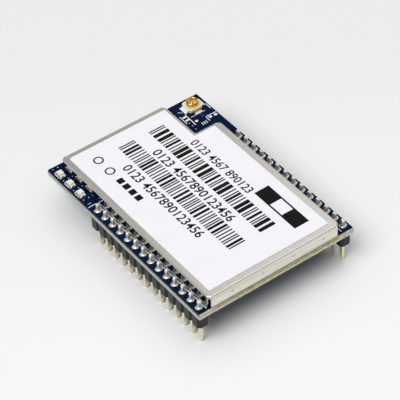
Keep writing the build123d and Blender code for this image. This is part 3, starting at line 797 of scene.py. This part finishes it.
# Underside: a run from each pin to a plated via, with lengths and bends that differ
RUN_BEND = 1.6
RUN_SHORTEST = 2.2
RUN_STEP = 0.9
RUN_STEPS = 8
RUN_SHIFTS = (-0.5, 0.8)
VIA_HOLE = 0.18
VIA_RADIUS = 0.36
VIA_SIDES = 16
UNDER_LOW = BOARD_BOTTOM - TRACE_HEIGHT
VIA_PROFILE = oblong(VIA_HOLE, VIA_RADIUS, UNDER_LOW, BOARD_BOTTOM)
under = bmesh.new()
vias = bmesh.new()
for side in (-1, 1):
    for number, pin_y in enumerate(PIN_YS):
        # The remainder shuffles the lengths, so that neighbours differ
        reach = RUN_SHORTEST + (number * 5 + (side > 0) * 3) % RUN_STEPS * RUN_STEP
        shift = RUN_SHIFTS[number % 2]
        via_y = pin_y + shift
        bend_x = side * (ROW_X - RUN_BEND)
        turned_x = bend_x - side * abs(shift)
        via_x = side * (ROW_X - RUN_BEND - reach)
        run = [(side * ROW_X, pin_y), (bend_x, pin_y), (turned_x, via_y), (via_x, via_y)]
        for start, end in zip(run, run[1:]):
            prism(under, stroke(*start, *end, TRACE_WIDTH), UNDER_LOW, BOARD_BOTTOM)
        lathe(vias, via_x, via_y, VIA_PROFILE, VIA_SIDES)
make("lower_traces", under, TRACE)
make("plated_vias", vias, TINNED)

# Bare pads beside the lid's notch: long round ones by middle, length and width, and strips by limits
PAD_HEIGHT = 0.02
ROUND_PADS = (
    (9.5, 16.4, 0.75, 0.4), (9.5, 15.57, 0.75, 0.4), (12.89, 13.96, 0.65, 0.5), (13.9, 13.9, 0.65, 0.5),
    (10.56, 14.5, 0.55, 0.5),
)
STRIP_PADS = ((10.15, 10.45, 16.9, 18.7), (13.75, 14.05, 16.9, 18.7), (11.4, 12.8, 15.85, 16.15))
STRIP_CORNER = 0.1
pads = bmesh.new()
for pad in ROUND_PADS:
    lay(pads, oval(*pad), PAD_HEIGHT)
for pad in STRIP_PADS:
    lay(pads, rounded(oblong(*pad), STRIP_CORNER), PAD_HEIGHT)
make("bare_pads", pads, LAMP_TIN)

# White legend: lines by their two ends, and specks
LEGEND_HEIGHT = 0.026
LINE = 0.14
FINE_LINE = 0.08
SPECK = 0.15
lines = [
    (-12.87, 8.8, -12.87, -19.4), (-14.3, 8.8, -12.87, 8.8), (12.55, 8.8, 12.55, -19.4),
    (9.98, 16.8, 9.9, 13.9), (8.95, 16.9, 8.95, 14.9), (12.3, 14.4, 12.3, 13.3), (12.3, 14.4, 14.3, 14.4),
    (14.2, 16.9, 14.2, 15.7), (10.9, 13.6, 10.9, 13.1), (11.3, 13.6, 11.3, 13.1), (11.7, 13.6, 11.7, 13.1),
]
fine_lines = [(-14.0, 9.45, -13.5, 9.45), (10.4, 15.74, 13.1, 15.74), (9.35, 18.0, 9.9, 17.5)]
specks = [(9.35, 14.8), (9.35, 13.95), (9.3, 13.0), (-13.9, 19.4), (-13.0, 19.4)]
for lamp_y in LAMP_YS:
    lines += [
        (-14.2, lamp_y - 0.5, -14.2, lamp_y + 0.7), (-14.2, lamp_y + 0.7, -14.05, lamp_y + 0.9),
        (-14.2, lamp_y - 0.5, -14.05, lamp_y - 0.7),
    ]
    specks += [(-14.0, lamp_y - 1.4), (-13.05, lamp_y - 1.4)]
legend = bmesh.new()
for line in lines:
    lay(legend, stroke(*line, LINE), LEGEND_HEIGHT)
for line in fine_lines:
    lay(legend, stroke(*line, FINE_LINE), LEGEND_HEIGHT)
for speck in specks:
    lay(legend, square(*speck, SPECK), LEGEND_HEIGHT)
make("board_legend", legend, LEGEND)

# Lamp dies inside the clear lenses
DIE_SIDE = 0.36
DIE_CORNER = 0.06
DIE_LOW = BOARD_TOP + 0.3
DIE_HIGH = DIE_LOW + 0.15
dies = bmesh.new()
for lamp_y in LAMP_YS:
    prism(dies, rounded(square(LAMP_X, lamp_y, DIE_SIDE), DIE_CORNER), DIE_LOW, DIE_HIGH)
make("lamp_dies", dies, PHOSPHOR)


# Stage: floor, light and camera

# Half the floor's side, in metres
FLOOR_HALF = 1.5
floor_plan = oblong(-FLOOR_HALF, FLOOR_HALF, -FLOOR_HALF, FLOOR_HALF)
floor_mesh = bpy.data.meshes.new("floor")
floor_mesh.from_pydata([(x, y, 0.0) for x, y in floor_plan], [], [(0, 1, 2, 3)])
floor_mesh.materials.append(FLOOR)
floor = placed("floor", floor_mesh)

scene = bpy.context.scene
world = bpy.data.worlds.new("studio")
scene.world = world
world.use_nodes = True
sky_tree = world.node_tree
sky = sky_tree.nodes["Background"]
direction = add(sky_tree, "ShaderNodeTexCoord").outputs["Generated"]
heading = add(sky_tree, "ShaderNodeSeparateXYZ", {0: direction}).outputs


def fade(value, start, end):
    """Runs smoothly from 0 at the start to 1 at the end."""
    return carried(sky_tree, value, start, end, kind="SMOOTHSTEP")


# The sky is dark near the horizon and light overhead, by the sine of the height
SKY_LEVELS = ((0.0, 0.01), (0.35, 0.04), (0.7, 0.4), (1.0, 0.85))
SKY_STOPS = [(position, (level, level, level, 1.0)) for position, level in SKY_LEVELS]
height = heading["Z"]
sky_tint = ramp(sky_tree, height, *SKY_STOPS)

# A pale backdrop stands round the horizon, seen directly, in metal and through resin
BACKDROP = (0.9, 0.9, 0.9, 1.0)
BACKDROP_TOP = (0.34, 0.24)
rays = add(sky_tree, "ShaderNodeLightPath").outputs
mirrored = reckon(sky_tree, "MAXIMUM", rays["Is Glossy Ray"], rays["Is Transmission Ray"])
seen = reckon(sky_tree, "MAXIMUM", rays["Is Camera Ray"], mirrored)
backdrop = reckon(sky_tree, "MULTIPLY", seen, fade(height, *BACKDROP_TOP))
sky_tree.links.new(mixed(sky_tree, backdrop, sky_tint, BACKDROP), sky.inputs["Color"])

# A soft panel high up, a band across the sky, which the lid mirrors
PANEL_GAIN = 1.05
PANEL_NEAR = (-0.26, -0.06)
PANEL_FAR = (0.5, 0.3)
PANEL_FOOT = (0.4, 0.6)
aside = reckon(sky_tree, "SUBTRACT", heading["X"], heading["Y"])
panel = reckon(sky_tree, "MULTIPLY", fade(aside, *PANEL_NEAR), fade(aside, *PANEL_FAR))
panel = reckon(sky_tree, "MULTIPLY", panel, fade(height, *PANEL_FOOT))
strength = reckon(sky_tree, "MULTIPLY_ADD", panel, PANEL_GAIN, 1.0)
sky_tree.links.new(strength, sky.inputs["Strength"])

KEY_ENERGY = 1.88
KEY_ANGLE = 38
KEY_FROM = Vector((-0.7, -0.17, 1.0))
key_data = bpy.data.lights.new("key", "SUN")
key_data.energy = KEY_ENERGY
key_data.angle = math.radians(KEY_ANGLE)
key = placed("key", key_data)
key.rotation_mode = "QUATERNION"
key.rotation_quaternion = KEY_FROM.to_track_quat("Z", "Y")

# The camera as solved from the corners of the board
AZIMUTH = math.radians(-34.654)
ELEVATION = math.radians(43.637)
ROLL = math.radians(-2.865)
DISTANCE = 310.198
SIDE_STEP = 0.342
RISE_STEP = -0.310
FOCAL_PIXELS = 2014.798
IMAGE_PIXELS = 400
SENSOR = 36.0
# The nearest distance drawn, in metres
NEAREST = 0.01
camera_data = bpy.data.cameras.new("camera")
camera_data.sensor_width = SENSOR
camera_data.lens = FOCAL_PIXELS / IMAGE_PIXELS * SENSOR
camera_data.clip_start = NEAREST
camera = placed("camera", camera_data)
outward = math.cos(ELEVATION)
back = Vector((math.sin(AZIMUTH) * outward, -math.cos(AZIMUTH) * outward, math.sin(ELEVATION)))
right = (-back).cross(Vector((0, 0, 1))).normalized()
up = right.cross(-back)
across = math.cos(ROLL) * right + math.sin(ROLL) * up
upward = -math.sin(ROLL) * right + math.cos(ROLL) * up
target = Vector((0, 0, BOARD_TOP))
place = (target + back * DISTANCE + right * SIDE_STEP + up * RISE_STEP) * MM
turned = Matrix((across, upward, back)).transposed()
camera.matrix_world = Matrix.Translation(place) @ turned.to_4x4()
scene.camera = camera

scene.view_settings.view_transform = "Standard"
